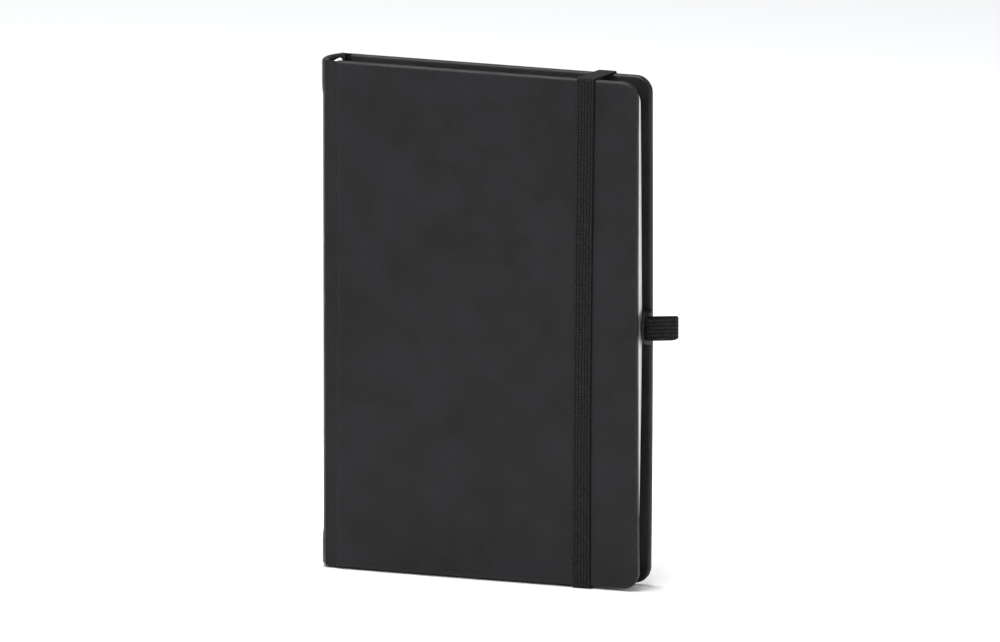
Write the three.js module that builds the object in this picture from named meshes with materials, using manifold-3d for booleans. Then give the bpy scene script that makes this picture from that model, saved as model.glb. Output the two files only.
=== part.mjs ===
// Pocket notebook, case bound, with an elastic closure band and an elastic pen loop.
// Millimetres. +Z runs from tail to head, +X from the spine to the fore edge, and the front
// cover faces -Y. Inside the root group x is measured from the ends of the spine's arc, y from
// the middle of the thickness and z from the underside of the band. The root group then moves
// everything sideways, so that the origin is under the middle of the whole object.
import * as THREE from 'three';
import { mergeVertices } from 'three/addons/utils/BufferGeometryUtils.js';
import Module from 'manifold-3d';

// Driving dimensions
const COVER_HEIGHT = 140;
const FORE_EDGE_X = 90.8;
const CLOSED_THICKNESS = 12.9;
const SPINE_BULGE = 2;
const SIGNATURE_COUNT = 12;
const GAP = 0.1;

// Case: boards, skin and spine
const COVER_THICKNESS = 2.4;
const SKIN = 0.35;
const COVER_CORNER_RADIUS = 4.6;
const COVER_SPINE_X = 3.2;
const TURN_IN = 8;
const LEAST_CORNER_RADIUS = 0.5;
const CUT_OVERRUN = 1;
const SPINE_HALF_CHORD = 6.2;
const SPINE_END_X = 0.2;
const SPINE_CARD = 0.8;
const SPINE_CARD_HALF_CHORD = 5;
const SPINE_CARD_SHORTFALL = 1.2;
const JOINT_STRIP_X = [0.5, 2.95];
const JOINT_AXIS_Y = 5.9;

// Text block
const SQUARE_HEAD = 2;
const SQUARE_FORE = 2.15;
const PAPER = 0.15;
const PASTEDOWN_SETBACK = 0.3;
const BLOCK_SPINE_X = 2.2;
const BLOCK_CORNER_RADIUS = 5.5;
const SIGNATURE_GAP = 0.08;
const LINING = 0.35;
const LINING_X = 1.2;
const LINING_SHORTFALL = 6;
const STITCH_RADIUS = 0.18;
const STITCH_COUNT = 4;
const HEADBAND_RADIUS = 0.6;

// Elastic closure band
const BAND_WIDTH = 5.2;
const BAND_THICKNESS = 0.5;
const BAND_FROM_FORE_EDGE = 15.5;
const SLOT_FROM_EDGE = 12;
const ANCHOR_LENGTH = 11;
const SLOT_CLEARANCE = 0.2;

// Elastic pen loop
const LOOP_WIDTH = 6.2;
const LOOP_WALL = 0.7;
const LOOP_REACH = 8.8;
const LOOP_ROOT = 0.6;
const LOOP_Y = [-0.25, 3.95];
const LOOP_RISE = 1;
const LOOP_BASE_RADIUS = 1.3;
const TAB_LENGTH = 9;
const TAB_THICKNESS = 0.5;
const TAB_STEP = 0.8;
const TAB_OVERLAP = 2 * LOOP_WALL;

// Derived places
const HALF_THICKNESS = CLOSED_THICKNESS / 2;
const TAIL_Z = BAND_THICKNESS + GAP;
const HEAD_Z = TAIL_Z + COVER_HEIGHT;
const MIDDLE_Z = (TAIL_Z + HEAD_Z) / 2;
const LOOP_LOW_Z = MIDDLE_Z + LOOP_RISE - LOOP_WIDTH / 2;
const LOOP_HIGH_Z = LOOP_LOW_Z + LOOP_WIDTH;
const BAND_X = FORE_EDGE_X - BAND_FROM_FORE_EDGE;
const BLOCK_HALF = HALF_THICKNESS - COVER_THICKNESS - 2 * PAPER - 3 * GAP;
const BLOCK_TAIL_Z = TAIL_Z + SQUARE_HEAD;
const BLOCK_HEIGHT = COVER_HEIGHT - 2 * SQUARE_HEAD;
const BLOCK_FORE_X = FORE_EDGE_X - SQUARE_FORE;
const FRONT = -1;
const BACK = 1;
const CURVE_SEGMENTS = 10;

const COLOURS = {
  skin: { color: 0x2f3033, roughness: 0.62 },
  elastic: { color: 0x1d1d1f, roughness: 0.85 },
  board: { color: 0x8b8275, roughness: 0.95 },
  endpaper: { color: 0xe9e1cb, roughness: 0.9 },
  page: { color: 0xf1ead8, roughness: 0.9 },
  cloth: { color: 0xd9d4c6, roughness: 0.95 },
};

const wasm = await Module();
wasm.setup();

// A closed mesh as a solid, ready to be joined or cut.
function toSolid(geometry) {
  const plain = geometry.clone();
  plain.deleteAttribute('normal');
  plain.deleteAttribute('uv');
  const merged = mergeVertices(plain);
  const vertProperties = new Float32Array(merged.attributes.position.array);
  const triVerts = new Uint32Array(merged.index.array);
  return new wasm.Manifold(new wasm.Mesh({ numProp: 3, vertProperties, triVerts }));
}

// A solid back as a geometry with flat shading.
function toGeometry(solid) {
  const mesh = solid.getMesh();
  const indexed = new THREE.BufferGeometry();
  indexed.setAttribute('position', new THREE.BufferAttribute(mesh.vertProperties, 3));
  indexed.setIndex(new THREE.BufferAttribute(mesh.triVerts, 1));
  const geometry = indexed.toNonIndexed();
  geometry.computeVertexNormals();
  return geometry;
}

// The geometry with each cutter taken away from it.
function cut(geometry, cutters) {
  let solid = toSolid(geometry);
  for (const cutter of cutters) {
    solid = solid.subtract(toSolid(cutter));
  }
  return toGeometry(solid);
}

// A box between two corners.
function block(low, high) {
  const size = high.map((value, axis) => value - low[axis]);
  const geometry = new THREE.BoxGeometry(...size);
  return geometry.translate(...low.map((value, axis) => value + size[axis] / 2));
}

// A sheet standing in the XZ plane, square at the spine and round at the fore edge's corners.
function sheet({ left, right, bottom, top, radius, low, thickness }) {
  const outline = new THREE.Shape();
  outline.moveTo(left, bottom);
  outline.lineTo(right - radius, bottom);
  outline.absarc(right - radius, bottom + radius, radius, -Math.PI / 2, 0);
  outline.lineTo(right, top - radius);
  outline.absarc(right - radius, top - radius, radius, 0, Math.PI / 2);
  outline.lineTo(left, top);
  outline.closePath();
  const settings = { depth: thickness, bevelEnabled: false, curveSegments: CURVE_SEGMENTS };
  const geometry = new THREE.ExtrudeGeometry(outline, settings);
  return geometry.rotateX(Math.PI / 2).translate(0, low + thickness, 0);
}

// An outline in the XY plane drawn up from bottom to top.
function upright(outline, bottom, top) {
  const settings = { depth: top - bottom, bevelEnabled: false, curveSegments: CURVE_SEGMENTS };
  return new THREE.ExtrudeGeometry(outline, settings).translate(0, 0, bottom);
}

// The lower y of a layer that lies at a depth inside the outer face of one cover.
function layerLow(side, depth, thickness) {
  return side === FRONT ? depth - HALF_THICKNESS : HALF_THICKNESS - depth - thickness;
}

// A sheet of one cover, kept an inset away from the cover's three free edges.
function coverSheet(side, { inset, depth, thickness, left = COVER_SPINE_X, radius }) {
  return sheet({
    left,
    right: FORE_EDGE_X - inset,
    bottom: TAIL_Z + inset,
    top: HEAD_Z - inset,
    radius: radius ?? Math.max(COVER_CORNER_RADIUS - inset, LEAST_CORNER_RADIUS),
    low: layerLow(side, depth, thickness),
    thickness,
  });
}

// The two slots that take the band's ends through the back cover.
function bandSlots() {
  const half = BAND_WIDTH / 2 + SLOT_CLEARANCE;
  const inner = HALF_THICKNESS - COVER_THICKNESS - GAP;
  return [TAIL_Z + SLOT_FROM_EDGE, HEAD_Z - SLOT_FROM_EDGE].map((z) => block(
    [BAND_X - half, inner, z - BAND_THICKNESS / 2 - SLOT_CLEARANCE],
    [BAND_X + half, HALF_THICKNESS + GAP, z + BAND_THICKNESS / 2 + SLOT_CLEARANCE],
  ));
}

// The shallow pockets in the back board's inner face for the band's glued ends.
function anchorPockets() {
  const half = BAND_WIDTH / 2 + SLOT_CLEARANCE;
  const inner = HALF_THICKNESS - COVER_THICKNESS;
  const depth = SKIN + 2 * GAP + BAND_THICKNESS;
  const length = ANCHOR_LENGTH + SLOT_CLEARANCE;
  const tail = TAIL_Z + SLOT_FROM_EDGE;
  const head = HEAD_Z - SLOT_FROM_EDGE;
  return [[tail, tail + length], [head - length, head]].map(([bottom, top]) => block(
    [BAND_X - half, inner, bottom],
    [BAND_X + half, inner + depth, top],
  ));
}

// The pocket in the back cover's inner face for the pen loop's glued tab.
function tabPocket() {
  const inner = HALF_THICKNESS - COVER_THICKNESS;
  const left = FORE_EDGE_X - LOOP_ROOT - TAB_LENGTH - SLOT_CLEARANCE;
  return block(
    [left, inner - GAP, LOOP_LOW_Z - SLOT_CLEARANCE],
    [FORE_EDGE_X + GAP, inner + TAB_THICKNESS + 2 * GAP, LOOP_HIGH_Z + SLOT_CLEARANCE],
  );
}

// One cover's stiff board.
function boardGeometry(side) {
  const depth = SKIN + GAP;
  const thickness = COVER_THICKNESS - 2 * depth;
  const board = coverSheet(side, { inset: SKIN + GAP, depth, thickness });
  if (side === FRONT) {
    return board;
  }
  return cut(board, [...bandSlots(), ...anchorPockets(), tabPocket()]);
}

// One cover's skin: an outer sheet turned in over the board along its three free edges.
function skinGeometry(side) {
  const beyondSpine = COVER_SPINE_X - CUT_OVERRUN;
  const whole = coverSheet(side, { inset: 0, depth: 0, thickness: COVER_THICKNESS });
  const boardRoom = coverSheet(side, {
    inset: SKIN,
    depth: SKIN,
    thickness: COVER_THICKNESS - 2 * SKIN,
    left: beyondSpine,
  });
  const window = coverSheet(side, {
    inset: TURN_IN,
    depth: COVER_THICKNESS / 2,
    thickness: COVER_THICKNESS,
    left: beyondSpine,
  });
  const openings = side === FRONT ? [] : [...bandSlots(), tabPocket()];
  return cut(whole, [boardRoom, window, ...openings]);
}

// An endpaper's half that is glued to the inside of a cover.
function pastedownGeometry(side) {
  return coverSheet(side, {
    inset: SQUARE_HEAD + PASTEDOWN_SETBACK,
    depth: COVER_THICKNESS + GAP,
    thickness: PAPER,
    radius: BLOCK_CORNER_RADIUS,
  });
}

// A sheet or a bundle of sheets of the text block.
function leafGeometry(low, thickness) {
  return sheet({
    left: BLOCK_SPINE_X,
    right: BLOCK_FORE_X,
    bottom: BLOCK_TAIL_Z,
    top: BLOCK_TAIL_Z + BLOCK_HEIGHT,
    radius: BLOCK_CORNER_RADIUS,
    low,
    thickness,
  });
}

// The free half of an endpaper, tipped to the block.
function flyleafGeometry(side) {
  return leafGeometry(side === FRONT ? -BLOCK_HALF - GAP - PAPER : BLOCK_HALF + GAP, PAPER);
}

// One folded gathering of the block, counted from the front.
function signatureGeometry(index) {
  const pitch = 2 * BLOCK_HALF / SIGNATURE_COUNT;
  return leafGeometry(-BLOCK_HALF + index * pitch + SIGNATURE_GAP / 2, pitch - SIGNATURE_GAP);
}

// The cloth lining glued along one half of the block's spine.
function liningGeometry(side) {
  const [low, high] = [GAP / 2, BLOCK_HALF].map((y) => side * y).sort((a, b) => a - b);
  return block(
    [LINING_X, low, BLOCK_TAIL_Z + LINING_SHORTFALL],
    [LINING_X + LINING, high, BLOCK_TAIL_Z + BLOCK_HEIGHT - LINING_SHORTFALL],
  );
}

// A round bar along Y.
function barAlongY(radius, low, high) {
  const circle = new THREE.Shape();
  circle.absarc(0, 0, radius, 0, 2 * Math.PI);
  const settings = { depth: high - low, bevelEnabled: false, curveSegments: CURVE_SEGMENTS };
  return new THREE.ExtrudeGeometry(circle, settings).rotateX(-Math.PI / 2).translate(0, low, 0);
}

// A link stitch that ties the folds of one half of the block together.
function stitchGeometry(side) {
  const reach = BLOCK_HALF - PAPER;
  return side === FRONT
    ? barAlongY(STITCH_RADIUS, -reach, -GAP)
    : barAlongY(STITCH_RADIUS, GAP, reach);
}

// A curved strip of the spine. Its outer face is an arc that bulges to -X.
function spineArc({ outerRadius, halfChord, thickness, bottom, top }) {
  const centreX = outerRadius - SPINE_BULGE;
  const half = Math.asin(halfChord / outerRadius);
  const shape = new THREE.Shape();
  shape.absarc(centreX, 0, outerRadius, Math.PI - half, Math.PI + half);
  shape.absarc(centreX, 0, outerRadius - thickness, Math.PI + half, Math.PI - half, true);
  shape.closePath();
  return upright(shape, bottom, top);
}

// The radius of the spine's outer face, from its chord and its bulge.
function spineRadius() {
  const rise = SPINE_BULGE + SPINE_END_X;
  return (SPINE_HALF_CHORD ** 2 + rise ** 2) / (2 * rise);
}

function spineSkinGeometry() {
  return spineArc({
    outerRadius: spineRadius(),
    halfChord: SPINE_HALF_CHORD,
    thickness: SKIN,
    bottom: TAIL_Z,
    top: HEAD_Z,
  });
}

// The card that stiffens the spine, one gap inside the skin and on the same centre.
function spineCardGeometry() {
  const inside = SKIN + GAP;
  return spineArc({
    outerRadius: spineRadius() - inside,
    halfChord: SPINE_CARD_HALF_CHORD,
    thickness: SPINE_CARD,
    bottom: TAIL_Z + SPINE_CARD_SHORTFALL,
    top: HEAD_Z - SPINE_CARD_SHORTFALL,
  }).translate(inside, 0, 0);
}

// The strip of skin that bends at a joint. It lies in a groove below the covers' outer faces.
function jointStripGeometry(side) {
  const middle = side * JOINT_AXIS_Y;
  return block(
    [JOINT_STRIP_X[0], middle - SKIN / 2, TAIL_Z],
    [JOINT_STRIP_X[1], middle + SKIN / 2, HEAD_Z],
  );
}

// An outline in the YZ plane drawn across the band's width.
function acrossBand(points) {
  const shape = new THREE.Shape(points.map(([y, z]) => new THREE.Vector2(y, z)));
  const settings = { depth: BAND_WIDTH, bevelEnabled: false };
  const geometry = new THREE.ExtrudeGeometry(shape, settings);
  return geometry.rotateX(Math.PI / 2).rotateZ(Math.PI / 2).translate(-BAND_WIDTH / 2, 0, 0);
}

// The band's run down the front cover.
function bandFrontGeometry() {
  return block([-BAND_WIDTH / 2, -BAND_THICKNESS, TAIL_Z], [BAND_WIDTH / 2, 0, HEAD_Z]);
}

// The band's stretch over the head or under the tail, from the front run to the back.
function bandCrossingGeometry() {
  const reach = HALF_THICKNESS + GAP + BAND_THICKNESS;
  return block([-BAND_WIDTH / 2, -reach, 0], [BAND_WIDTH / 2, reach, BAND_THICKNESS]);
}

// One end of the band, z measured from its slot: down the outside, through the slot, and
// glued along the board's inner face. It is drawn for the head.
function bandEndGeometry() {
  const outside = HALF_THICKNESS + GAP;
  const inside = HALF_THICKNESS - COVER_THICKNESS + SKIN;
  const half = BAND_THICKNESS / 2;
  return acrossBand([
    [outside, half],
    [outside, SLOT_FROM_EDGE],
    [outside + BAND_THICKNESS, SLOT_FROM_EDGE],
    [outside + BAND_THICKNESS, -half],
    [inside + BAND_THICKNESS, -half],
    [inside + BAND_THICKNESS, -ANCHOR_LENGTH],
    [inside, -ANCHOR_LENGTH],
    [inside, half],
  ]);
}

// A rounded rectangle, with its own radius at each end.
function loopOutline(left, right, low, high, baseRadius, endRadius) {
  const shape = new THREE.Shape();
  shape.moveTo(left + baseRadius, low);
  shape.lineTo(right - endRadius, low);
  shape.absarc(right - endRadius, low + endRadius, endRadius, -Math.PI / 2, 0);
  shape.absarc(right - endRadius, high - endRadius, endRadius, 0, Math.PI / 2);
  shape.lineTo(left + baseRadius, high);
  shape.absarc(left + baseRadius, high - baseRadius, baseRadius, Math.PI / 2, Math.PI);
  shape.absarc(left + baseRadius, low + baseRadius, baseRadius, Math.PI, 1.5 * Math.PI);
  shape.closePath();
  return shape;
}

// The pen loop: one length of elastic, bent round and glued by its tab inside the back cover.
function penLoopGeometry() {
  const left = FORE_EDGE_X - LOOP_ROOT;
  const right = FORE_EDGE_X + LOOP_REACH;
  const [low, high] = LOOP_Y;
  const endRadius = (high - low) / 2 - GAP;
  const tabLow = HALF_THICKNESS - COVER_THICKNESS + GAP;
  const outside = loopOutline(left, right, low, high, LOOP_BASE_RADIUS, endRadius);
  const outer = upright(outside, LOOP_LOW_Z, LOOP_HIGH_Z);
  const inner = upright(loopOutline(
    left + LOOP_WALL,
    right - LOOP_WALL,
    low + LOOP_WALL,
    high - LOOP_WALL,
    LOOP_BASE_RADIUS - LOOP_WALL,
    endRadius - LOOP_WALL,
  ), LOOP_LOW_Z - GAP, LOOP_HIGH_Z + GAP);
  const step = block(
    [left - TAB_STEP / 2, high - TAB_OVERLAP, LOOP_LOW_Z],
    [left + TAB_STEP / 2, tabLow + TAB_THICKNESS, LOOP_HIGH_Z],
  );
  const tab = block(
    [left - TAB_LENGTH, tabLow, LOOP_LOW_Z],
    [left, tabLow + TAB_THICKNESS, LOOP_HIGH_Z],
  );
  const ring = toSolid(outer).subtract(toSolid(inner));
  return toGeometry(ring.add(toSolid(step)).add(toSolid(tab)));
}

// A named mesh in one of the notebook's materials.
function piece(name, colour, geometry, position = [0, 0, 0]) {
  const material = new THREE.MeshStandardMaterial({ ...COLOURS[colour], metalness: 0 });
  const mesh = new THREE.Mesh(geometry, material);
  mesh.name = name;
  mesh.position.set(...position);
  return mesh;
}

// The stitches of one half of the block, evenly spaced up its spine.
function stitches(side, prefix) {
  const x = LINING_X + LINING + GAP + STITCH_RADIUS;
  const spacing = BLOCK_HEIGHT / (STITCH_COUNT + 1);
  return Array.from({ length: STITCH_COUNT }, (_, index) => {
    const z = BLOCK_TAIL_Z + spacing * (index + 1);
    return piece(`${prefix}_stitch_${index + 1}`, 'cloth', stitchGeometry(side), [x, 0, z]);
  });
}

// The signatures from one number up to another, counted from 1 at the front.
function signatures(first, last) {
  return Array.from({ length: last - first + 1 }, (_, offset) => {
    const number = String(first + offset).padStart(2, '0');
    return piece(`signature_${number}`, 'page', signatureGeometry(first + offset - 1));
  });
}

function cover(side, prefix) {
  const group = new THREE.Group();
  group.add(piece(`${prefix}_board`, 'board', boardGeometry(side)));
  group.add(piece(`${prefix}_cover_skin`, 'skin', skinGeometry(side)));
  group.add(piece(`${prefix}_pastedown`, 'endpaper', pastedownGeometry(side)));
  return group;
}

function spine() {
  const group = new THREE.Group();
  group.add(piece('spine_skin', 'skin', spineSkinGeometry()));
  group.add(piece('spine_card', 'board', spineCardGeometry()));
  group.add(piece('front_joint_strip', 'skin', jointStripGeometry(FRONT)));
  group.add(piece('back_joint_strip', 'skin', jointStripGeometry(BACK)));
  return group;
}

// One half of the text block, with its flyleaf, its stitches and its half of the lining.
function pages(side, prefix, first, last) {
  const group = new THREE.Group();
  group.add(piece(`${prefix}_flyleaf`, 'endpaper', flyleafGeometry(side)));
  group.add(...signatures(first, last));
  group.add(piece(`${prefix}_spine_lining`, 'cloth', liningGeometry(side)));
  group.add(...stitches(side, prefix));
  return group;
}

// The sewn rolls that finish the block's spine at head and tail.
function headbands() {
  const group = new THREE.Group();
  const rise = HEADBAND_RADIUS + GAP;
  const x = BLOCK_SPINE_X + HEADBAND_RADIUS;
  const roll = barAlongY(HEADBAND_RADIUS, -BLOCK_HALF, BLOCK_HALF);
  group.add(piece('head_band', 'cloth', roll, [x, 0, BLOCK_TAIL_Z + BLOCK_HEIGHT + rise]));
  group.add(piece('tail_band', 'cloth', roll.clone(), [x, 0, BLOCK_TAIL_Z - rise]));
  return group;
}

// The closure band round the closed notebook. The tail's end is the head's, turned over.
function closureBand() {
  const group = new THREE.Group();
  group.position.x = BAND_X;
  const frontY = -HALF_THICKNESS - GAP;
  group.add(piece('band_front_run', 'elastic', bandFrontGeometry(), [0, frontY, 0]));
  const headCrossing = [0, 0, HEAD_Z + GAP];
  group.add(piece('band_head_crossing', 'elastic', bandCrossingGeometry(), headCrossing));
  group.add(piece('band_tail_crossing', 'elastic', bandCrossingGeometry()));
  const headEnd = [0, 0, HEAD_Z - SLOT_FROM_EDGE];
  group.add(piece('band_head_end', 'elastic', bandEndGeometry(), headEnd));
  const tailEnd = bandEndGeometry().rotateY(Math.PI);
  group.add(piece('band_tail_end', 'elastic', tailEnd, [0, 0, TAIL_Z + SLOT_FROM_EDGE]));
  return group;
}

const notebook = new THREE.Group();
notebook.position.x = -(FORE_EDGE_X + LOOP_REACH - SPINE_BULGE) / 2;
notebook.add(cover(FRONT, 'front'));
notebook.add(cover(BACK, 'back'));
notebook.add(spine());
notebook.add(pages(FRONT, 'front', 1, SIGNATURE_COUNT / 2));
notebook.add(pages(BACK, 'back', SIGNATURE_COUNT / 2 + 1, SIGNATURE_COUNT));
notebook.add(headbands());
notebook.add(closureBand());
notebook.add(piece('pen_loop', 'elastic', penLoopGeometry()));

export default notebook;
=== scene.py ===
"""The looks of a case bound pocket notebook: leatherette covers, folded leaves, ribbed elastic."""

import math
import random

import bmesh
import bpy
import numpy as np
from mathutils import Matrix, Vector


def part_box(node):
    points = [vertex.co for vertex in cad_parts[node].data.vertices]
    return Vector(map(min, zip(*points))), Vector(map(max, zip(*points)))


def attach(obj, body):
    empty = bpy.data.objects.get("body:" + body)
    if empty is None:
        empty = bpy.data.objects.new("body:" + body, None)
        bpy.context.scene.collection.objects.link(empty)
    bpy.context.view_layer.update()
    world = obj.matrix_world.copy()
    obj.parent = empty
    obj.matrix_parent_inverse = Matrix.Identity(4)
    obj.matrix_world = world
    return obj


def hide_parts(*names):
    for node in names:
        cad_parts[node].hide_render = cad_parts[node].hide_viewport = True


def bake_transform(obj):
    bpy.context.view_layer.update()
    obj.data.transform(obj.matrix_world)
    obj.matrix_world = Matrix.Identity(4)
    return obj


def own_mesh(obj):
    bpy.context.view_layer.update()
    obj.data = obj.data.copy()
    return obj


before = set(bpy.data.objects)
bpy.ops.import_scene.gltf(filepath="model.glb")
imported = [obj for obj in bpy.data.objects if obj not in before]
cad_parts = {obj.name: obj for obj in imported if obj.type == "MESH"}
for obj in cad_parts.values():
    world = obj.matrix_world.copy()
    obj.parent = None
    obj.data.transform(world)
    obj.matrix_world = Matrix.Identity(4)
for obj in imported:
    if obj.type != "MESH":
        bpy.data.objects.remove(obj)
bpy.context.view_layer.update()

# ---------------------------------------------------------------- sizes, in metres
MM = 0.001
FRONT = -1
BACK = 1
SIDES = {"front": FRONT, "back": BACK}

COVER_LO, COVER_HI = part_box("back_cover_skin")
SPINE_LO, SPINE_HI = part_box("spine_skin")
LEAF_LO, LEAF_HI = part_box("back_flyleaf")
BAND_LO, BAND_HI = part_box("band_front_run")
HEAD_CROSSING_LO, HEAD_CROSSING_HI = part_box("band_head_crossing")
TAIL_CROSSING_LO, TAIL_CROSSING_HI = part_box("band_tail_crossing")
LOOP_LO, LOOP_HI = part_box("pen_loop")

FORE_X = COVER_HI.x
OUTER_Y = COVER_HI.y
COVER_THICKNESS = COVER_HI.y - COVER_LO.y
MIDDLE_Z = (COVER_LO.z + COVER_HI.z) / 2
HALF_HEIGHT = (COVER_HI.z - COVER_LO.z) / 2

SKIN = 0.35 * MM
BOARD_GAP = 0.1 * MM
TURN_IN = 8 * MM
COVER_CORNER = 4.6 * MM
LEAF_CORNER = 5.5 * MM
SPINE_CORNER = 0.5 * MM
PATCH = 9 * MM
PATCH_COLUMNS = 14
PATCH_ROWS = 22
CORNER_STEPS = 12

# The band presses the fore edge thin, most of all at the tail, and the covers bow out between.
FLAT_UP_TO = COVER_LO.x + 14 * MM
INNER_Y = OUTER_Y - COVER_THICKNESS
FORE_BULGE = 0.045
HEAD_PINCH = 0.08
TAIL_PINCH = 0.28
FORE_SETBACK = 0.2 * MM
HEAD_BOW = 0.4 * MM
TAIL_BOW = 0.75 * MM


def ease(share):
    """A share from 0 to 1, with a soft start and a soft end."""
    share = np.clip(share, 0, 1)
    return share * share * (3 - 2 * share)


def squeeze(points, pages=False):
    """The points of the closed book, pressed towards the middle of its thickness.

    The pages are pressed thinner, and the covers keep their own thickness. The pages' fore edge
    also draws back, most of all at the tail.
    """
    p = np.array(points, float).reshape(-1, 3)
    rise = (p[:, 2] - MIDDLE_Z) / HALF_HEIGHT
    if pages:
        along = np.clip((p[:, 0] - LEAF_LO.x) / (LEAF_HI.x - LEAF_LO.x), 0, 1)
        bow = np.where(rise > 0, HEAD_BOW, TAIL_BOW) * np.abs(rise)
        p[:, 0] -= (FORE_SETBACK + bow) * along
    share = ease((p[:, 0] - FLAT_UP_TO) / (FORE_X - FLAT_UP_TO))
    pinch = np.where(rise > 0, HEAD_PINCH, TAIL_PINCH) * rise ** 2
    p[:, 1] += np.clip(p[:, 1], -INNER_Y, INNER_Y) * share * (FORE_BULGE - pinch)
    return p


# ---------------------------------------------------------------- node materials
class Look:
    """A node material under construction."""

    def __init__(self, name, **shader):
        self.material = bpy.data.materials.new(name)
        self.material.use_nodes = True
        self.tree = self.material.node_tree
        self.shader = self.tree.nodes["Principled BSDF"]
        for socket, value in shader.items():
            self.shader.inputs[socket.replace("_", " ")].default_value = value
        self.place = self.node("ShaderNodeTexCoord").outputs["Object"]

    def node(self, kind, inputs=None, **settings):
        made = self.tree.nodes.new(kind)
        for name, value in settings.items():
            setattr(made, name, value)
        for socket, value in (inputs or {}).items():
            if isinstance(value, bpy.types.NodeSocket):
                self.tree.links.new(value, made.inputs[socket])
            else:
                made.inputs[socket].default_value = value
        return made

    def noise(self, size, detail=3.0, roughness=0.55):
        """Smooth noise from 0 to 1 with features of about the given size in metres."""
        inputs = {"Vector": self.place, "Scale": 1 / size, "Detail": detail, "Roughness": roughness}
        return self.node("ShaderNodeTexNoise", inputs).outputs["Fac"]

    def cells(self, size, feature="F1"):
        """Distance to the middle of the nearest of many small cells."""
        inputs = {"Vector": self.place, "Scale": 1 / size}
        return self.node("ShaderNodeTexVoronoi", inputs, feature=feature).outputs["Distance"]

    def maths(self, operation, a, b=0.0):
        return self.node("ShaderNodeMath", {0: a, 1: b}, operation=operation).outputs[0]

    def spread(self, value, low, high, to_low=0.0, to_high=1.0):
        """The value, with low..high mapped to to_low..to_high and clamped."""
        inputs = {"Value": value, "From Min": low, "From Max": high, "To Min": to_low, "To Max": to_high}
        return self.node("ShaderNodeMapRange", inputs).outputs["Result"]

    def mix(self, share, a, b):
        """Colour a turning to colour b as share goes from 0 to 1."""
        inputs = {"Factor": share, 6: a, 7: b}
        return self.node("ShaderNodeMix", inputs, data_type="RGBA").outputs[2]

    def attribute(self, name):
        return self.node("ShaderNodeAttribute", attribute_name=name).outputs["Fac"]

    def use(self, socket, value):
        self.tree.links.new(value, self.shader.inputs[socket])

    def bump(self, height, distance, strength):
        inputs = {"Height": height, "Distance": distance, "Strength": strength}
        self.use("Normal", self.node("ShaderNodeBump", inputs).outputs["Normal"])


def rgb(red, green, blue):
    return (red, green, blue, 1.0)


def leatherette():
    """Matt black leatherette: a fine pebbled grain, faint mottling, dust and rubbed edges."""
    look = Look("leatherette", Specular_IOR_Level=0.24)
    mottle = look.noise(9 * MM, detail=4)
    patches = look.noise(34 * MM, detail=2)
    dust = look.spread(look.cells(2.6 * MM), 0.03, 0.06, 1.0, 0.0)
    rare = look.spread(look.noise(5 * MM, detail=1), 0.6, 0.64)
    specks = look.maths("MULTIPLY", dust, rare)
    tone = look.maths("ADD", look.maths("MULTIPLY", mottle, 0.6), look.maths("MULTIPLY", patches, 0.4))
    base = look.mix(look.spread(tone, 0.4, 0.6), rgb(0.0030, 0.0030, 0.0036), rgb(0.0082, 0.0082, 0.0100))
    speckled = look.mix(look.maths("MULTIPLY", specks, 0.35), base, rgb(0.06, 0.06, 0.06))
    rubbed = look.spread(look.noise(1.6 * MM, detail=5), 0.42, 0.75)
    wear = look.maths("MULTIPLY", look.maths("MULTIPLY", look.attribute("edge"), rubbed), 0.3)
    look.use("Base Color", look.mix(wear, speckled, rgb(0.045, 0.044, 0.043)))
    look.use("Roughness", look.spread(mottle, 0.35, 0.65, 0.42, 0.58))
    pebbles = look.spread(look.cells(0.36 * MM, feature="SMOOTH_F1"), 0.1, 0.75)
    creases = look.noise(0.9 * MM, detail=5, roughness=0.6)
    height = look.maths("ADD", look.maths("MULTIPLY", pebbles, 0.6), look.maths("MULTIPLY", creases, 0.7))
    look.bump(height, 0.055 * MM, 0.8)
    return look.material


def elastic(name, ribs, stitch):
    """Woven elastic: raised ribs of slanted stitches, with grooves between them. Its colour carries a
    painted highlight on the stitches and painted shade in the grooves.
    """
    look = Look(name, Roughness=0.82, Specular_IOR_Level=0.13, Sheen_Weight=0.04, Sheen_Roughness=0.4)
    across = look.maths("MULTIPLY", look.attribute("across"), ribs)
    groove = look.maths("ABSOLUTE", look.maths("SUBTRACT", look.maths("FRACT", across), 0.5))
    groove = look.maths("MULTIPLY", groove, 2.0)
    slant = look.maths("MULTIPLY", groove, 0.45)
    turns = look.maths("ADD", look.maths("DIVIDE", look.attribute("along"), stitch), slant)
    wave = look.maths("SINE", look.maths("MULTIPLY", turns, 2 * math.pi))
    stitches = look.spread(wave, -0.6, 1.0)
    crown = look.spread(groove, 0.25, 1.0, 1.0, 0.0)
    uneven = look.noise(0.7 * MM, detail=3)
    # Painted light: the stitches on the rib crowns are painted lighter as a highlight, and the grooves are
    # painted dark as shade, with random unevenness on top.
    painted_rib_light = look.maths("MULTIPLY", look.spread(stitches, 0.0, 1.0, 0.45, 1.0), crown)
    lit = look.maths("MULTIPLY", painted_rib_light, look.spread(uneven, 0.35, 0.65, 0.3, 1.0))
    look.use("Base Color", look.mix(lit, rgb(0.0025, 0.0025, 0.0028), rgb(0.028, 0.028, 0.029)))
    height = look.maths("ADD", look.maths("MULTIPLY", stitches, 0.5), look.maths("MULTIPLY", crown, 0.8))
    look.bump(look.maths("ADD", height, look.maths("MULTIPLY", uneven, 0.3)), 0.09 * MM, 0.9)
    return look.material


def paper(name, colour, shade):
    """Uncoated paper with soft clouding and fine fibres."""
    look = Look(name, Specular_IOR_Level=0.2)
    clouds = look.spread(look.noise(6 * MM, detail=3), 0.35, 0.65)
    look.use("Base Color", look.mix(clouds, rgb(*shade), rgb(*colour)))
    look.use("Roughness", look.spread(clouds, 0.0, 1.0, 0.86, 0.94))
    look.bump(look.noise(0.25 * MM, detail=6, roughness=0.7), 0.012 * MM, 0.5)
    return look.material


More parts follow.
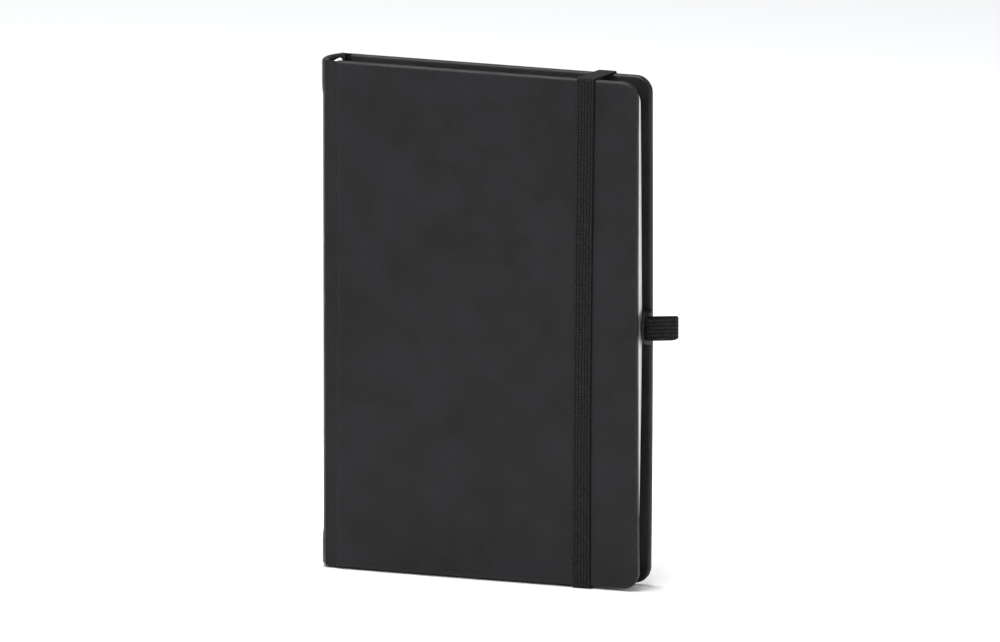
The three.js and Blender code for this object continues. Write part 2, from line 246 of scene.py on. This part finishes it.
def grey_board():
    """Pressed grey board, flecked with fibres."""
    look = Look("grey_board", Roughness=0.95, Specular_IOR_Level=0.15)
    flecks = look.spread(look.noise(0.5 * MM, detail=5), 0.4, 0.65)
    look.use("Base Color", look.mix(flecks, rgb(0.20, 0.18, 0.155), rgb(0.36, 0.33, 0.29)))
    look.bump(look.noise(0.3 * MM, detail=4), 0.03 * MM, 0.7)
    return look.material


def woven(name, colour, shade, thread):
    """Plain weave: two crossed sets of threads."""
    look = Look(name, Roughness=0.9, Specular_IOR_Level=0.15, Sheen_Weight=0.15)
    parts = look.node("ShaderNodeSeparateXYZ", {"Vector": look.place}).outputs
    waves = [look.maths("SINE", look.maths("MULTIPLY", parts[axis], math.pi / thread)) for axis in (1, 2)]
    weave = look.spread(look.maths("MULTIPLY", waves[0], waves[1]), -0.8, 0.8)
    look.use("Base Color", look.mix(weave, rgb(*shade), rgb(*colour)))
    look.bump(weave, 0.06 * MM, 0.8)
    return look.material


SILK_PITCH = 0.55 * MM


def silk_wraps():
    """Pale thread wound round and round the headband's core."""
    look = Look("silk_wraps", Roughness=0.6, Specular_IOR_Level=0.35, Sheen_Weight=0.2)
    parts = look.node("ShaderNodeSeparateXYZ", {"Vector": look.place}).outputs
    wave = look.maths("SINE", look.maths("MULTIPLY", parts[1], 2 * math.pi / SILK_PITCH))
    turns = look.spread(wave, -0.7, 0.9)
    look.use("Base Color", look.mix(turns, rgb(0.5, 0.49, 0.46), rgb(0.86, 0.85, 0.82)))
    look.bump(turns, 0.07 * MM, 0.9)
    return look.material


def pale_floor():
    look = Look("pale_floor", Roughness=0.85, Specular_IOR_Level=0.1)
    look.use("Base Color", look.mix(look.noise(0.6, detail=1), rgb(0.86, 0.86, 0.86), rgb(0.88, 0.88, 0.88)))
    return look.material


BAND_RIBS = 6
LOOP_RIBS = 6
LEATHERETTE = leatherette()
BAND_ELASTIC = elastic("band_elastic", BAND_RIBS, 0.8 * MM)
LOOP_ELASTIC = elastic("loop_elastic", LOOP_RIBS, 0.7 * MM)
PAGE = paper("page_paper", (0.93, 0.915, 0.87), (0.90, 0.88, 0.83))
ENDPAPER = paper("end_paper", (0.80, 0.775, 0.715), (0.76, 0.735, 0.67))
BOARD = grey_board()
MULL = woven("spine_mull", (0.82, 0.79, 0.72), (0.6, 0.57, 0.5), 0.45 * MM)
THREAD = woven("linen_thread", (0.85, 0.83, 0.77), (0.6, 0.57, 0.5), 0.16 * MM)
SILK = silk_wraps()


# ---------------------------------------------------------------- mesh helpers
def build(name, points, faces, attributes=None, weld=0.0, sharp=40, pages=False):
    """A squeezed mesh object with its normals facing out and its float attributes."""
    mesh = bpy.data.meshes.new(name)
    mesh.from_pydata([tuple(p) for p in squeeze(points, pages)], [], faces)
    for key, values in (attributes or {}).items():
        layer = mesh.attributes.new(key, "FLOAT", "POINT")
        layer.data.foreach_set("value", np.asarray(values, np.float32))
    work = bmesh.new()
    work.from_mesh(mesh)
    if weld:
        bmesh.ops.remove_doubles(work, verts=work.verts, dist=weld)
        bmesh.ops.dissolve_degenerate(work, dist=weld, edges=work.edges)
    bmesh.ops.recalc_face_normals(work, faces=work.faces)
    work.to_mesh(mesh)
    work.free()
    mesh.shade_smooth()
    mesh.set_sharp_from_angle(angle=math.radians(sharp))
    piece = bpy.data.objects.new(name, mesh)
    bpy.context.scene.collection.objects.link(piece)
    return piece


def finish_piece(piece, material, body, nodes=()):
    """Gives a piece its material, its body and the CAD nodes that it stands for."""
    piece.data.materials.clear()
    piece.data.materials.append(material)
    if body:
        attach(piece, body)
    if nodes:
        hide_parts(*nodes)
    return piece


def arc(centre, radius, start, end, steps):
    """Points on an arc, angles in degrees."""
    angles = np.radians(np.linspace(start, end, steps))
    return [(centre[0] + radius * math.cos(a), centre[1] + radius * math.sin(a)) for a in angles]


def outline(rect, inset, corner):
    """A loop of XZ points inside a rectangle, round at the fore edge's corners."""
    x0, z0, x1, z1 = rect
    xs = np.linspace(x0 + PATCH, x1 - PATCH, PATCH_COLUMNS)
    zs = np.linspace(z0 + PATCH, z1 - PATCH, PATCH_ROWS)
    left, low, right, high = x0 + inset, z0 + inset, x1 - inset, z1 - inset
    fore = max(corner - inset, 0)
    near = max(SPINE_CORNER - inset, 0)
    loop = [(x, low) for x in xs]
    loop += arc((right - fore, low + fore), fore, -90, 0, CORNER_STEPS)
    loop += [(right, z) for z in zs]
    loop += arc((right - fore, high - fore), fore, 0, 90, CORNER_STEPS)
    loop += [(x, high) for x in xs[::-1]]
    loop += arc((left + near, high - near), near, 90, 180, CORNER_STEPS // 3)
    loop += [(left, z) for z in zs[::-1]]
    loop += arc((left + near, low + near), near, 180, 270, CORNER_STEPS // 3)
    return loop


def patch(rect, y):
    """The flat grid that fills an outline at the patch's inset."""
    x0, z0, x1, z1 = rect
    xs = np.linspace(x0 + PATCH, x1 - PATCH, PATCH_COLUMNS)
    zs = np.linspace(z0 + PATCH, z1 - PATCH, PATCH_ROWS)
    points = [(x, y, z) for z in zs for x in xs]
    faces = [
        (row * PATCH_COLUMNS + col, row * PATCH_COLUMNS + col + 1,
         (row + 1) * PATCH_COLUMNS + col + 1, (row + 1) * PATCH_COLUMNS + col)
        for row in range(PATCH_ROWS - 1)
        for col in range(PATCH_COLUMNS - 1)
    ]
    return points, faces


def ring_faces(count, rings):
    """Quads between closed rings of count points each."""
    faces = []
    for ring in range(rings - 1):
        for i in range(count):
            a = ring * count + i
            b = ring * count + (i + 1) % count
            faces.append((a, b, b + count, a + count))
    return faces


def end_caps(count, rings):
    """The two faces that close the first and the last ring."""
    last = (rings - 1) * count
    return [tuple(range(count)), tuple(last + i for i in range(count))]


def plate(name, rect, corner, profile, wear=0.0, pages=False):
    """A closed plate in XZ. The profile lists (inset, y) from one face's patch to the other's.

    wear is the width along the edge, on every ring of the profile, that is marked as rubbed.
    """
    points, faces, edge = [], [], []
    for inset, y in profile:
        ring = outline(rect, inset, corner)
        points += [(x, y, z) for x, z in ring]
        edge += [max(0.0, 1 - inset / wear) if wear else 0.0] * len(ring)
    faces += ring_faces(len(ring), len(profile))
    for y in (profile[0][1], profile[-1][1]):
        grid, cells = patch(rect, y)
        faces += [tuple(len(points) + i for i in cell) for cell in cells]
        points += grid
        edge += [0.0] * len(grid)
    return build(name, points, faces, {"edge": edge}, weld=1e-7, pages=pages)


def fillet(corners, radii, step):
    """A 2-D path through the corners, rounded by the radii, with a point about every step."""
    corners = [np.array(c, float) for c in corners]
    path = [corners[0]]
    for before, here, after, radius in zip(corners, corners[1:], corners[2:], radii):
        into = (before - here) / np.linalg.norm(before - here)
        out = (after - here) / np.linalg.norm(after - here)
        half = math.acos(max(-1.0, min(1.0, float(into @ out)))) / 2
        reach = radius / math.tan(half)
        start, end = here + into * reach, here + out * reach
        for t in np.linspace(0, 1, 9):
            path.append((1 - t) ** 2 * start + 2 * t * (1 - t) * here + t * t * end)
    path.append(corners[-1])
    dense = [path[0]]
    for a, b in zip(path, path[1:]):
        count = max(1, int(round(np.linalg.norm(b - a) / step)))
        dense += [a + (b - a) * i / count for i in range(1, count + 1)]
    return np.array(dense)


def ribbon(name, path, side, width, thickness, ribs, rib_height):
    """A strap swept along a path of 3-D points. Its width runs along side, and it has ribs."""
    path = np.array(path, float)
    side = np.array(side, float)
    tangent = np.gradient(path, axis=0)
    tangent /= np.linalg.norm(tangent, axis=1)[:, None]
    outward = np.cross(np.broadcast_to(side, tangent.shape), tangent)
    length = np.concatenate([[0], np.cumsum(np.linalg.norm(np.diff(path, axis=0), axis=1))])
    samples = max(9, 6 * ribs + 1)
    share = np.linspace(-0.5, 0.5, samples)
    body = thickness / 2 * (1 - np.abs(2 * share) ** 14) ** 0.5
    height = body + rib_height * np.abs(np.sin(math.pi * ribs * (share + 0.5))) ** 0.7
    section = list(zip(share, height))
    section += list(zip(share[::-1], -height[::-1]))[1:-1]
    points, across, along = [], [], []
    for centre, out, run in zip(path, outward, length):
        for u, h in section:
            points.append(centre + side * u * width + out * h)
            across.append(u + 0.5)
            along.append(run)
    count = len(section)
    faces = ring_faces(count, len(path)) + end_caps(count, len(path))
    return build(name, points, faces, {"across": across, "along": along}, sharp=60)


# ---------------------------------------------------------------- where the band runs
BAND_X = (BAND_LO.x + BAND_HI.x) / 2
BAND_WIDTH = BAND_HI.x - BAND_LO.x
BAND_THICKNESS = 0.36 * MM
BAND_RIB_HEIGHT = 0.07 * MM
BAND_Y = (BAND_LO.y + BAND_HI.y) / 2
BAND_LEAN = 1.5 * MM
BAND_BEND = 0.9 * MM
BAND_NEAR = BAND_Y + BAND_BEND
BAND_FAR = -BAND_NEAR
HEAD_SLANT = 1.4 * MM
HEAD_Z = (HEAD_CROSSING_LO.z + HEAD_CROSSING_HI.z) / 2
TAIL_Z = (TAIL_CROSSING_LO.z + TAIL_CROSSING_HI.z) / 2
ANCHOR_LENGTH = 11 * MM
SLOTS = {
    "head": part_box("band_head_end")[0].z + ANCHOR_LENGTH,
    "tail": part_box("band_tail_end")[1].z - ANCHOR_LENGTH,
}


def band_x(y, z):
    """The band's middle. It leans a little, and crosses the head at a slant."""
    lean = BAND_LEAN * (z - MIDDLE_Z) / (2 * HALF_HEIGHT)
    crossed = min(max((y - BAND_NEAR) / (BAND_FAR - BAND_NEAR), 0), 1)
    undone = min(max((HEAD_Z - z) / (HEAD_Z - SLOTS["head"]), 0), 1)
    return BAND_X + lean + HEAD_SLANT * crossed * (1 - undone)


# ---------------------------------------------------------------- covers
COVER_RECT = (COVER_LO.x, COVER_LO.z, COVER_HI.x, COVER_HI.z)
LEAF_RECT = (LEAF_LO.x, LEAF_LO.z, LEAF_HI.x, LEAF_HI.z)
EDGE_RADIUS = 0.75 * MM
BOARD_EDGE_RADIUS = 0.4 * MM
EDGE_STEPS = 7
FLAT_INSET = 4.5 * MM
RIM_INSET = 1.8 * MM
PASTEDOWN_MARGIN = 2.3 * MM
PASTEDOWN_SHEET = 0.15 * MM
SINK_STARTS = 7.6 * MM
SINK_ENDS = 8.6 * MM


def covering(prefix, side):
    """A cover's skin: the outer sheet, its edge, the turn-in, and back round the board."""
    outer, inner = EDGE_RADIUS, SKIN + BOARD_EDGE_RADIUS
    far = COVER_THICKNESS
    depths = [(PATCH, 0), (FLAT_INSET, 0), (RIM_INSET, 0)]
    depths += arc((outer, outer), outer, 270, 180, EDGE_STEPS)
    depths += arc((outer, far - outer), outer, 180, 90, EDGE_STEPS)
    depths += [(RIM_INSET, far), (TURN_IN - 0.5 * MM, far), (TURN_IN - 0.15 * MM, far - 0.03 * MM)]
    depths += [(TURN_IN, far - 0.13 * MM), (TURN_IN, far - SKIN + 0.02 * MM)]
    depths += arc((inner, far - inner), BOARD_EDGE_RADIUS, 90, 180, EDGE_STEPS)
    depths += arc((inner, inner), BOARD_EDGE_RADIUS, 180, 270, EDGE_STEPS)
    depths += [(FLAT_INSET, SKIN), (PATCH, SKIN)]
    profile = [(inset, side * (OUTER_Y - depth)) for inset, depth in depths]
    return plate(f"{prefix}_covering", COVER_RECT, COVER_CORNER, profile, wear=1.2 * MM)


def board(prefix, side):
    low, high = SKIN + BOARD_GAP, COVER_THICKNESS - SKIN - BOARD_GAP
    inset = SKIN + 0.2 * MM
    depths = [(PATCH, low), (1.2 * MM, low), (inset, low + 0.4 * MM), (inset, high - 0.4 * MM),
              (1.2 * MM, high), (PATCH, high)]
    profile = [(step, side * (OUTER_Y - depth)) for step, depth in depths]
    return plate(f"{prefix}_greyboard", COVER_RECT, COVER_CORNER, profile)


def pastedown(prefix, side):
    """The glued endpaper, trimmed with the pages. It sinks a little past the turn-ins under it."""
    over = COVER_THICKNESS + 0.05 * MM
    sunk = COVER_THICKNESS - 0.1 * MM
    glued = [(PATCH, sunk), (SINK_ENDS, sunk + 0.02 * MM), (SINK_STARTS, over), (PASTEDOWN_MARGIN, over)]
    facing = [(inset, depth + PASTEDOWN_SHEET) for inset, depth in glued[::-1]]
    profile = [(inset, side * (OUTER_Y - depth)) for inset, depth in glued + facing]
    corner = LEAF_CORNER + PASTEDOWN_MARGIN
    return plate(f"{prefix}_endpaper", COVER_RECT, corner, profile, pages=True)


def cut_slots(piece):
    """Cuts the two slots that take the band's ends through the back cover."""
    half_width, half_height = BAND_WIDTH / 2 + 0.25 * MM, BAND_THICKNESS / 2 + 0.3 * MM
    for z in SLOTS.values():
        work = bmesh.new()
        bmesh.ops.create_cube(work, size=2)
        bmesh.ops.scale(work, vec=(half_width, OUTER_Y, half_height), verts=work.verts)
        bmesh.ops.translate(work, vec=(band_x(OUTER_Y, z), 1.2 * OUTER_Y, z), verts=work.verts)
        mesh = bpy.data.meshes.new("slot_cutter")
        work.to_mesh(mesh)
        work.free()
        cutter = bpy.data.objects.new("slot_cutter", mesh)
        bpy.context.scene.collection.objects.link(cutter)
        modifier = piece.modifiers.new("slot", "BOOLEAN")
        modifier.operation = "DIFFERENCE"
        modifier.solver = "EXACT"
        modifier.object = cutter
        graph = bpy.context.evaluated_depsgraph_get()
        carved = bpy.data.meshes.new_from_object(piece.evaluated_get(graph))
        piece.modifiers.clear()
        piece.data = carved
        bpy.data.objects.remove(cutter)


def make_covers():
    for prefix, side in SIDES.items():
        body = f"{prefix}_cover"
        skin, stiffener = covering(prefix, side), board(prefix, side)
        if side == BACK:
            cut_slots(skin)
            cut_slots(stiffener)
        finish_piece(skin, LEATHERETTE, body, [f"{prefix}_cover_skin"])
        finish_piece(stiffener, BOARD, body, [f"{prefix}_board"])
        finish_piece(pastedown(prefix, side), ENDPAPER, body, [f"{prefix}_pastedown"])


# ---------------------------------------------------------------- spine and joints
SPINE_FULLNESS = 0.25 * MM
SPINE_RISE = 2.2 * MM + SPINE_FULLNESS
SPINE_RADIUS = (SPINE_HI.y ** 2 + SPINE_RISE ** 2) / (2 * SPINE_RISE)
SPINE_CENTRE_X = SPINE_LO.x - SPINE_FULLNESS + SPINE_RADIUS
SPINE_STEPS = 22
SPINE_CARD = 1.25 * MM
CAP_RIDGE = 0.28 * MM
CAP_LENGTH = 9.5 * MM


def cap_ridge(z):
    """How far the spine stands out near head and tail, where the skin is double."""
    depth = min(z - COVER_LO.z, COVER_HI.z - z)
    return CAP_RIDGE * ease((CAP_LENGTH - depth) / (1.6 * MM))


def make_spine():
    """The spine's skin: an arc in plan, turned in over the card at head and tail."""
    outer = SKIN / 2
    inner = outer + SPINE_CARD + SKIN
    low, high = COVER_LO.z + outer, COVER_HI.z - outer
    corners = [
        (inner, low + TURN_IN), (inner, low), (outer, low),
        (outer, high), (inner, high), (inner, high - TURN_IN),
    ]
    radius = (inner - outer) / 2 * 0.98
    centreline = fillet(corners, [radius] * 4, 1.5 * MM)
    tangent = np.gradient(centreline, axis=0)
    tangent /= np.linalg.norm(tangent, axis=1)[:, None]
    normal = np.stack([-tangent[:, 1], tangent[:, 0]], axis=1)
    loop = np.concatenate([centreline + normal * SKIN / 2, (centreline - normal * SKIN / 2)[::-1]])
    half = math.asin(SPINE_HI.y / SPINE_RADIUS)
    points = []
    for angle in np.linspace(-half, half, SPINE_STEPS):
        fade = math.cos(angle / half * math.pi / 2) ** 0.35 if abs(angle) < half else 0.0
        for depth, z in loop:
            radius_here = SPINE_RADIUS - depth + cap_ridge(z) * (0.35 + 0.65 * fade)
            points.append((SPINE_CENTRE_X - radius_here * math.cos(angle), radius_here * math.sin(angle), z))
    count = len(loop)
    faces = ring_faces(count, SPINE_STEPS)
    half_count = count // 2
    for first in (0, (SPINE_STEPS - 1) * count):
        for i in range(half_count - 1):
            faces.append((first + i, first + i + 1, first + count - 2 - i, first + count - 1 - i))
    edge = [1.0 if min(z - COVER_LO.z, COVER_HI.z - z) < 0.8 * MM else 0.0 for _, _, z in points]
    piece = build("spine_covering", points, faces, {"edge": edge}, weld=1e-8)
    finish_piece(piece, LEATHERETTE, "spine", ["spine_skin"])


def make_joint(prefix, side):
    """The strip of skin between the spine and a cover, sunk in a shallow groove."""
    spine_x = SPINE_HI.x - 0.1 * MM
    cover_x = COVER_LO.x
    corners = [
        (spine_x - 0.35 * MM, side * (SPINE_HI.y - 0.2 * MM)),
        (spine_x + 0.7 * MM, side * (SPINE_HI.y - 0.42 * MM)),
        (cover_x - 0.5 * MM, side * (SPINE_HI.y - 0.5 * MM)),
        (cover_x + 0.75 * MM, side * (SPINE_HI.y - 0.32 * MM)),
    ]
    flat = fillet(corners, [0.6 * MM, 0.6 * MM], 0.22 * MM)
    height = COVER_HI.z - COVER_LO.z
    path = [(x, y, MIDDLE_Z) for x, y in flat]
    piece = ribbon(f"{prefix}_joint_covering", path, (0, 0, 1), height, 0.42 * MM, 0, 0)
    finish_piece(piece, LEATHERETTE, None, [f"{prefix}_joint_strip"])
    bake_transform(piece)


# ---------------------------------------------------------------- text block
SHEETS = 4
LEAF = 0.045 * MM
LEAF_ROWS = 11
SIGNATURES = sorted(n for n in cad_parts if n.startswith("signature_"))
COLUMN_INSETS = np.array([0, 0.12, 0.35, 0.75, 1.3, 2.1, 3.0, 4.0, 9, 20, 35, 50, 62, 72, 80, 84]) * MM


def folded_sheet(front_y, back_y, draw):
    """One sheet folded at the spine into two leaves, as points and faces of a closed solid."""
    fore = LEAF_HI.x - draw.uniform(0, 0.11) * MM
    low = LEAF_LO.z + draw.uniform(-0.03, 0.03) * MM
    high = LEAF_HI.z + draw.uniform(-0.03, 0.03) * MM
    radius = (back_y - front_y) / 2
    fold_x = LEAF_LO.x + radius + LEAF / 2
    insets = [i for i in COLUMN_INSETS if fore - i > fold_x + 0.2 * MM]
    lift = draw.uniform(-0.006, 0.006) * MM
    leaf = [(fore - i, lift * math.cos(i / (9 * MM))) for i in insets]
    path = [(x, front_y + wave) for x, wave in leaf]
    path += [(fold_x + radius * math.cos(a), (front_y + back_y) / 2 + radius * math.sin(a))
             for a in np.linspace(1.5 * math.pi, 0.5 * math.pi, 7)]
    path += [(x, back_y + wave) for x, wave in leaf[::-1]]
    path = np.array(path)
    tangent = np.gradient(path, axis=0)
    tangent /= np.linalg.norm(tangent, axis=1)[:, None]
    normal = np.stack([-tangent[:, 1], tangent[:, 0]], axis=1) * LEAF / 2
    rise = np.linspace(0, 1, LEAF_ROWS)
    points = []
    for (x, y), (nx, ny) in zip(path, normal):
        near = max(0.0, LEAF_CORNER - (fore - x))
        cut = LEAF_CORNER - math.sqrt(max(LEAF_CORNER ** 2 - near ** 2, 0.0))
        heights = low + cut + (high - low - 2 * cut) * rise
        points += [(x + nx, y + ny, z) for z in heights]
        points += [(x - nx, y - ny, z) for z in heights[::-1]]
    ring = 2 * LEAF_ROWS
    faces = ring_faces(ring, len(path))
    last = ring * (len(path) - 1)
    for start in (0, last):
        for i in range(LEAF_ROWS - 1):
            faces.append((start + i, start + i + 1, start + ring - 2 - i, start + ring - 1 - i))
    return points, faces


def make_signature(node, draw):
    """A gathering of folded sheets, nested one inside the next."""
    lo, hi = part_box(node)
    pitch = (hi.y - lo.y) / (2 * SHEETS)
    points, faces = [], []
    for sheet in range(SHEETS):
        step = (sheet + 0.5) * pitch
        more, cells = folded_sheet(lo.y + step, hi.y - step, draw)
        faces += [tuple(len(points) + i for i in cell) for cell in cells]
        points += more
    piece = build(f"{node}_leaves", points, faces, sharp=50, pages=True)
    body = "front_pages" if (lo.y + hi.y) / 2 < 0 else "back_cover"
    finish_piece(piece, PAGE, body, [node])


def make_flyleaf(prefix, side):
    lo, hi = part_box(f"{prefix}_flyleaf")
    profile = [(PATCH, lo.y), (0.02 * MM, lo.y), (0.02 * MM, hi.y), (PATCH, hi.y)]
    piece = plate(f"{prefix}_free_endpaper", LEAF_RECT, LEAF_CORNER, profile, pages=True)
    body = "front_pages" if side == FRONT else "back_cover"
    finish_piece(piece, ENDPAPER, body, [f"{prefix}_flyleaf"])


HEADBAND_SETBACK = 1.6 * MM
HEADBAND_SHARE = 0.8
HEADBAND_ROWS = 90
HEADBAND_SIDES = 16


def make_headband(node):
    """A roll of wound thread across the block's spine."""
    lo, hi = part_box(node)
    radius = (hi.z - lo.z) / 2
    x, z = (lo.x + hi.x) / 2 - HEADBAND_SETBACK, (lo.z + hi.z) / 2
    half = HEADBAND_SHARE * (hi.y - lo.y) / 2
    rows = np.linspace(-half, half, HEADBAND_ROWS)
    points = []
    for y in rows:
        end = math.sqrt(max(0.0, 1 - (abs(y) / half) ** 12))
        here = (radius * 0.9 + radius * 0.1 * math.sin(2 * math.pi * y / SILK_PITCH)) * max(end, 0.25)
        points += [(x + here * math.cos(a), y, z + here * math.sin(a))
                   for a in np.linspace(0, 2 * math.pi, HEADBAND_SIDES, endpoint=False)]
    faces = ring_faces(HEADBAND_SIDES, len(rows)) + end_caps(HEADBAND_SIDES, len(rows))
    piece = build(f"{node}_roll", points, faces)
    finish_piece(piece, SILK, None, [node])
    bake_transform(piece)


def make_block():
    draw = random.Random(11)
    for node in SIGNATURES:
        make_signature(node, draw)
    for prefix, side in SIDES.items():
        make_flyleaf(prefix, side)
    for node in ("head_band", "tail_band"):
        make_headband(node)


def dress_carried_nodes():
    """Gives the CAD nodes that stay in view, in the spine, their materials."""
    looks = {"lining": MULL, "stitch": THREAD, "spine_card": BOARD}
    for name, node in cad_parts.items():
        for word, material in looks.items():
            if word in name:
                node.data.materials.clear()
                node.data.materials.append(material)


# ---------------------------------------------------------------- closure band
BEND_LEFT_TO_CROSSING = 0.5 * MM
BAND_STEP = 0.8 * MM
SLOT_BENDS = [0.4 * MM, 0.5 * MM]
GLUED_DEPTH = 0.25 * MM
GLUED_MARGIN = 0.5 * MM
CUT_SLACK = 0.05 * MM
BAND_PIECES = {
    "band_tail_end": "back_cover",
    "band_tail_crossing": "back_cover",
    "band_front_run": "closure_band",
    "band_head_crossing": "back_cover",
    "band_head_end": "back_cover",
}


def band_corners(end, edge_z):
    """The band's corners in the YZ plane, from its glued tip to the front of the book."""
    lo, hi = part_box(f"band_{end}_end")
    inside = lo.y + GLUED_DEPTH
    tip = lo.z + GLUED_MARGIN if end == "head" else hi.z - GLUED_MARGIN
    return [
        (inside, tip), (inside, SLOTS[end]), (-BAND_Y, SLOTS[end]),
        (-BAND_Y, edge_z), (BAND_Y, edge_z),
    ]


def band_cuts(path):
    """Where the band is cut: at the back cover's two edges, and at both ends of its front run."""
    y, z = path[:, 1], path[:, 2]
    past_tail = z > TAIL_Z + BEND_LEFT_TO_CROSSING
    past_head = z < HEAD_Z - BEND_LEFT_TO_CROSSING
    front = np.flatnonzero((y < BAND_NEAR) & past_tail & past_head)
    at_edges = (z < TAIL_Z + BAND_BEND) | (z > HEAD_Z - BAND_BEND)
    crossing = np.flatnonzero((y < BAND_FAR + CUT_SLACK) & at_edges)
    return [0, crossing[0], front[0], front[-1], crossing[-1], len(path) - 1]


def make_band():
    """The closure band: one elastic round the book, cut where its moving run begins and ends."""
    corners = band_corners("tail", TAIL_Z) + band_corners("head", HEAD_Z)[::-1]
    radii = SLOT_BENDS + [BAND_BEND * 0.95] * 4 + SLOT_BENDS[::-1]
    path = np.array([(band_x(y, z), y, z) for y, z in fillet(corners, radii, BAND_STEP)])
    cuts = band_cuts(path)
    for (node, body), first, last in zip(BAND_PIECES.items(), cuts, cuts[1:]):
        piece = ribbon(
            f"closure_{node}", path[first:last + 1], (1, 0, 0),
            BAND_WIDTH, BAND_THICKNESS, BAND_RIBS, BAND_RIB_HEIGHT,
        )
        finish_piece(piece, BAND_ELASTIC, body, [node])
        if "crossing" in node:
            at_back_cover = path[first if "tail" in node else last]
            anchor = tuple(squeeze([at_back_cover])[0])
            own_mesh(piece)


# ---------------------------------------------------------------- pen loop
LOOP_WIDTH = LOOP_HI.z - LOOP_LO.z
LOOP_Z = (LOOP_LO.z + LOOP_HI.z) / 2
LOOP_THICKNESS = 0.5 * MM
LOOP_TILT = 0.09


def make_pen_loop():
    """One length of elastic bent into a flat loop, with its ends glued inside the cover."""
    tab_y = LOOP_HI.y - 0.25 * MM
    near, far = LOOP_LO.y + 0.4 * MM, INNER_Y - 0.5 * MM
    end_x = LOOP_HI.x - 0.4 * MM
    corners = [
        (FORE_X - 9 * MM, tab_y), (FORE_X - 1.2 * MM, tab_y), (FORE_X + 0.2 * MM, far),
        (end_x, far - 0.1 * MM), (end_x, near + 0.1 * MM), (FORE_X + 0.3 * MM, near),
        (FORE_X - 0.3 * MM, near + 1.6 * MM),
    ]
    radii = [0.6 * MM, 0.8 * MM, 1.4 * MM, 1.4 * MM, 0.7 * MM]
    flat = fillet(corners, radii, 0.35 * MM)
    path = [(x, y, LOOP_Z + LOOP_TILT * max(x - FORE_X, 0)) for x, y in flat]
    piece = ribbon("pen_loop_elastic", path, (0, 0, 1), LOOP_WIDTH, LOOP_THICKNESS, LOOP_RIBS, 0.09 * MM)
    finish_piece(piece, LOOP_ELASTIC, "back_cover", ["pen_loop"])


def make_loop_root():
    """The lining's swelling over the glued root of the pen loop."""
    left, right = FORE_X - 1.7 * MM, FORE_X + 0.4 * MM
    base = INNER_Y + 0.1 * MM
    reach, half_height = 5.2 * MM, 4.85 * MM
    rows, columns = 25, 18
    points = []
    for v in np.linspace(-1, 1, rows):
        swell = reach * math.sqrt(max(1 - v * v, 0.0)) ** 0.8 + 0.02 * MM
        for angle in np.linspace(math.pi, 2 * math.pi, columns):
            x = (left + right) / 2 + (right - left) / 2 * math.cos(angle)
            points.append((x, base + swell * math.sin(angle), LOOP_Z + v * half_height))
    faces = ring_faces(columns, rows) + end_caps(columns, rows)
    piece = build("pen_loop_root", points, faces, {"edge": [0.0] * len(points)})
    finish_piece(piece, LEATHERETTE, "back_cover")


# ---------------------------------------------------------------- stage, light and camera
CAMERA_AZIMUTH = 21.45
CAMERA_ELEVATION = 11.51
CAMERA_DISTANCE = 7.478
VIEW_WIDTH = 0.2711
SENSOR = 36.0
AIM_RIGHT = -0.15 * MM
AIM_UP = 0.35 * MM
LIT_POINT = Vector((0, 0, 0.07))
FLOOR_SPAN = 4.0
SKY_STRENGTH = 0.42
SOFTBOXES = {
    "top_softbox": ((-0.15, -0.1, 1.15), (1.0, 0.5), 19),
    "front_softbox": ((-0.6, -1.1, 0.9), (0.6, 0.6), 7),
    "side_softbox": ((1.3, -0.5, 0.35), (0.5, 0.5), 5),
}


def make_camera():
    azimuth, elevation = math.radians(CAMERA_AZIMUTH), math.radians(CAMERA_ELEVATION)
    back = Vector((
        math.sin(azimuth) * math.cos(elevation),
        -math.cos(azimuth) * math.cos(elevation),
        math.sin(elevation),
    ))
    right = Vector((math.cos(azimuth), math.sin(azimuth), 0))
    aim = Vector((0, 0, MIDDLE_Z)) + right * AIM_RIGHT + back.cross(right) * AIM_UP
    data = bpy.data.cameras.new("camera")
    data.sensor_width = SENSOR
    data.lens = SENSOR * CAMERA_DISTANCE / VIEW_WIDTH
    data.clip_start, data.clip_end = 0.1, 100
    camera = bpy.data.objects.new("camera", data)
    bpy.context.scene.collection.objects.link(camera)
    camera.location = aim + back * CAMERA_DISTANCE
    camera.rotation_mode = "QUATERNION"
    camera.rotation_quaternion = (-back).to_track_quat("-Z", "Y")
    bpy.context.scene.camera = camera


def softbox(name, place, size, power):
    data = bpy.data.lights.new(name, "AREA")
    data.shape = "RECTANGLE"
    data.size, data.size_y = size
    data.energy = power
    lamp = bpy.data.objects.new(name, data)
    bpy.context.scene.collection.objects.link(lamp)
    lamp.location = place
    lamp.rotation_mode = "QUATERNION"
    lamp.rotation_quaternion = (LIT_POINT - Vector(place)).to_track_quat("-Z", "Y")


def make_stage():
    span = FLOOR_SPAN
    points = [(-span, -span, 0), (span, -span, 0), (span, span, 0), (-span, span, 0)]
    mesh = bpy.data.meshes.new("floor")
    mesh.from_pydata(points, [], [(0, 1, 2, 3)])
    floor = bpy.data.objects.new("floor", mesh)
    bpy.context.scene.collection.objects.link(floor)
    mesh.materials.append(pale_floor())
    world = bpy.data.worlds.new("studio")
    bpy.context.scene.world = world
    world.use_nodes = True
    world.node_tree.nodes["Background"].inputs["Color"].default_value = rgb(0.95, 0.97, 1.0)
    world.node_tree.nodes["Background"].inputs["Strength"].default_value = SKY_STRENGTH
    for name, (place, size, power) in SOFTBOXES.items():
        softbox(name, place, size, power)
    bpy.context.scene.view_settings.view_transform = "Standard"


make_camera()
make_stage()
make_covers()
make_spine()
for prefix, side in SIDES.items():
    make_joint(prefix, side)
make_block()
dress_carried_nodes()
make_band()
make_pen_loop()
make_loop_root()
